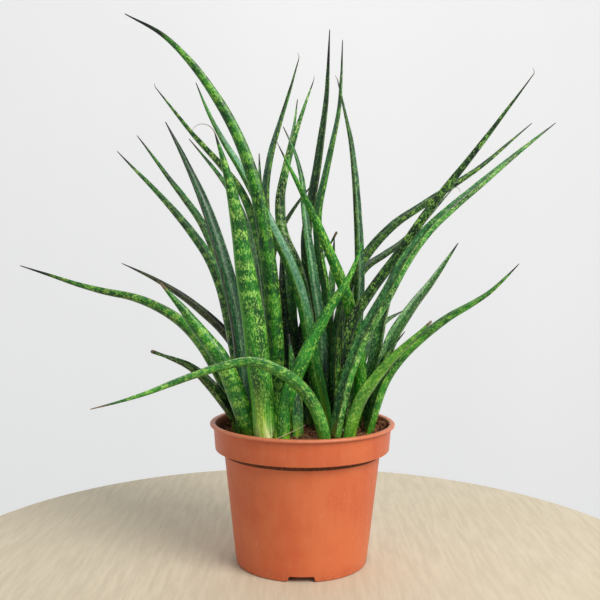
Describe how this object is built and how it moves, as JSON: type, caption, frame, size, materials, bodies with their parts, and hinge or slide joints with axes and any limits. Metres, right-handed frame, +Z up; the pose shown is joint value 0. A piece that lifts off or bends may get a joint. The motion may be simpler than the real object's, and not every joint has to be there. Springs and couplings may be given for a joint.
{
  "type": "potted snake plant",
  "caption": "Houseplant with a dense clump of narrow, channelled, banded green leaves that taper to fine tips, growing from soil in a round tapered plastic nursery pot.",
  "frame": {"origin": "centre of the pot's underside on the surface it stands on, which is also the centre of the base of the whole plant's box", "axes": "+Z up, -Y towards the viewer (the side with the low arching leaf), +X to the viewer's right"},
  "size_m": [0.331, 0.22, 0.3547],
  "materials": {
    "pot_plastic": "satin moulded plastic, terracotta orange",
    "potting_soil": "loose coir compost with straw-coloured fibres; wood stands for the coir",
    "leaf": "waxy satin leaf with cross bands and fine speckle; leather stands for the leaf flesh"
  },
  "bodies": {
    "root": {"nursery_pot": "pot_plastic", "soil": "potting_soil", "tall_arching_leaf": "leaf", "broad_banded_leaf": "leaf", "dark_channelled_leaf": "leaf", "left_upper_leaf": "leaf", "left_rear_leaf": "leaf", "left_slender_leaf": "leaf", "left_hidden_leaf": "leaf", "long_middle_leaf": "leaf", "inner_upright_leaf": "leaf", "bowed_upright_leaf": "leaf", "rear_upright_leaf": "leaf", "thin_centre_leaf": "leaf", "bright_crossing_leaf": "leaf", "tallest_pointed_leaf": "leaf", "tall_dark_leaf": "leaf", "rear_crossing_leaf": "leaf", "short_brown_tipped_leaf": "leaf", "upright_front_right_leaf": "leaf", "front_diagonal_leaf": "leaf", "low_arching_leaf": "leaf", "short_low_left_leaf": "leaf", "far_left_leaf": "leaf", "wide_left_leaf": "leaf", "left_striped_leaf": "leaf", "broken_right_leaf": "leaf", "far_right_leaf": "leaf", "right_channelled_leaf": "leaf", "small_right_leaf": "leaf", "mottled_right_leaf": "leaf", "long_right_leaf": "leaf", "tall_right_leaf": "leaf", "right_striped_leaf": "leaf", "right_rear_leaf": "leaf", "short_centre_leaf": "leaf", "shaded_right_leaf": "leaf", "inner_left_leaf": "leaf", "shaded_middle_leaf": "leaf", "shaded_centre_leaf": "leaf", "shaded_back_leaf": "leaf", "back_left_leaf": "leaf", "back_low_leaf": "leaf", "back_leaning_leaf": "leaf", "back_upright_leaf": "leaf", "back_right_leaf": "leaf", "back_short_leaf": "leaf"}
  },
  "joints": []
}
